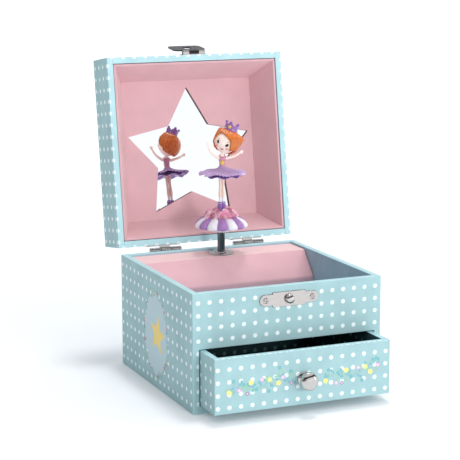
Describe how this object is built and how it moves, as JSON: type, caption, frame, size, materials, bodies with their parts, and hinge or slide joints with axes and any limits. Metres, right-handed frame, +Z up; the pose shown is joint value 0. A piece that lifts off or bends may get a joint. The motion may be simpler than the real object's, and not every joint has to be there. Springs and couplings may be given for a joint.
{
  "type": "musical jewellery box",
  "caption": "Square musical jewellery box with hinged mirror lid, dancing figure on a spindle, front tray, pull-out drawer and wind-up movement.",
  "frame": {"origin": "centre of the box's square footprint, on the flat bottom", "axes": "+X right along the front, +Y to the back, +Z up; the front with the drawer and catch faces -Y"},
  "size_m": [0.15, 0.2489, 0.2453],
  "materials": {
    "aqua_board": "dotted paper over board",
    "pink_board": "pink felt paper over card",
    "plain_board": "plain blue-grey paper over board",
    "mirror_glass": "polished",
    "nickel": "polished nickel plate",
    "steel": "brushed",
    "brass": "satin",
    "white_lilac": "painted resin",
    "rose_pink": "painted resin",
    "lilac": "painted resin",
    "purple": "painted resin",
    "skin": "painted resin",
    "orange_hair": "painted resin"
  },
  "bodies": {
    "box": {"base_panel": "aqua_board", "left_panel": "aqua_board", "right_panel": "aqua_board", "front_panel": "aqua_board", "back_panel": "aqua_board", "tray_floor": "plain_board", "drawer_runners": "plain_board", "movement_cover": "pink_board", "spindle_flange": "nickel", "movement_bedplate": "brass", "movement_comb": "steel", "movement_screws": "nickel", "governor_bridge": "brass", "box_hinge_leaves": "nickel", "hinge_pins": "nickel", "strike_plate": "nickel", "catch_stud": "nickel", "box_screws": "nickel"},
    "lid": {"lid_top_panel": "aqua_board", "lid_left_wall": "aqua_board", "lid_right_wall": "aqua_board", "lid_front_wall": "aqua_board", "lid_back_wall": "aqua_board", "lid_liner_front": "pink_board", "lid_liner_back": "pink_board", "lid_liner_left": "pink_board", "lid_liner_right": "pink_board", "star_panel": "pink_board", "lid_mirror": "mirror_glass", "lid_hinge_leaves": "nickel", "lid_screws": "nickel", "hasp_base": "nickel", "hasp_pin": "nickel"},
    "hasp": {"hasp_plate": "nickel"},
    "drawer": {"drawer_front": "aqua_board", "drawer_left": "aqua_board", "drawer_right": "aqua_board", "drawer_back": "aqua_board", "drawer_bottom": "aqua_board", "drawer_knob": "nickel", "knob_screw": "nickel"},
    "barrel": {"spring_barrel": "brass", "mainspring": "steel"},
    "winder": {"winding_arbor": "steel", "winding_key": "brass"},
    "cylinder": {"music_cylinder": "brass"},
    "governor": {"governor_wheel": "brass"},
    "fly": {"air_brake_fly": "brass"},
    "spindle_body": {"spindle": "nickel"},
    "figure_seat": {"figure_magnet": "nickel"},
    "figure": {"figure_base": "white_lilac", "figure_roses": "rose_pink", "figure_shoes": "purple", "figure_legs": "skin", "figure_tutu": "lilac", "figure_torso": "lilac", "figure_arms": "skin", "figure_head": "skin", "figure_hair": "orange_hair", "figure_crown": "purple"}
  },
  "joints": [
    {"name": "lid_hinge", "type": "hinge", "parent": "box", "child": "lid", "pos_m": [0, 0.079, 0.088], "axis": [1, 0, 0], "range_deg": [0, 98.4]},
    {"name": "hasp_swing", "type": "hinge", "parent": "lid", "child": "hasp", "pos_m": [0, 0.1063, 0.24207], "axis": [1, 0, 0], "range_deg": [0, 165]},
    {"name": "drawer_slide", "type": "slide", "parent": "box", "child": "drawer", "axis": [0, -1, 0], "range_m": [-0.026, 0.085]},
    {"name": "winding_key_turn", "type": "hinge", "parent": "box", "child": "winder", "pos_m": [0.002, 0.075, 0.067], "axis": [0, 1, 0], "continuous": true},
    {"name": "barrel_spin", "type": "hinge", "parent": "box", "child": "barrel", "pos_m": [0.002, 0.064, 0.067], "axis": [0, 1, 0], "continuous": true},
    {"name": "cylinder_spin", "type": "hinge", "parent": "box", "child": "cylinder", "pos_m": [-0.03, 0.053, 0.067], "axis": [1, 0, 0], "continuous": true},
    {"name": "governor_spin", "type": "hinge", "parent": "box", "child": "governor", "pos_m": [0.0204, 0.058, 0.067], "axis": [0, 1, 0], "continuous": true},
    {"name": "fly_spin", "type": "hinge", "parent": "box", "child": "fly", "pos_m": [0.0299, 0.058, 0.067], "axis": [0, 1, 0], "continuous": true},
    {"name": "spindle_spin", "type": "hinge", "parent": "box", "child": "spindle_body", "pos_m": [0.002, 0.055, 0.09], "axis": [0, 0, 1], "continuous": true},
    {"name": "figure_fold", "type": "hinge", "parent": "box", "child": "figure_seat", "pos_m": [0.002, 0.0541, 0.0741], "axis": [1, 0, 0], "range_deg": [0, 90]},
    {"name": "figure_spin", "type": "hinge", "parent": "figure_seat", "child": "figure", "pos_m": [0.002, 0.055, 0.106], "axis": [0, 0, 1], "continuous": true}
  ],
  "couplings": [
    {"joint": "cylinder_spin", "follows": "barrel_spin", "ratio": 2},
    {"joint": "governor_spin", "follows": "barrel_spin", "ratio": -3.6},
    {"joint": "fly_spin", "follows": "barrel_spin", "ratio": 13.5},
    {"joint": "spindle_spin", "follows": "barrel_spin", "ratio": -3},
    {"joint": "figure_spin", "follows": "barrel_spin", "ratio": -3},
    {"joint": "figure_fold", "follows": "lid_hinge", "ratio": 0.91463}
  ]
}
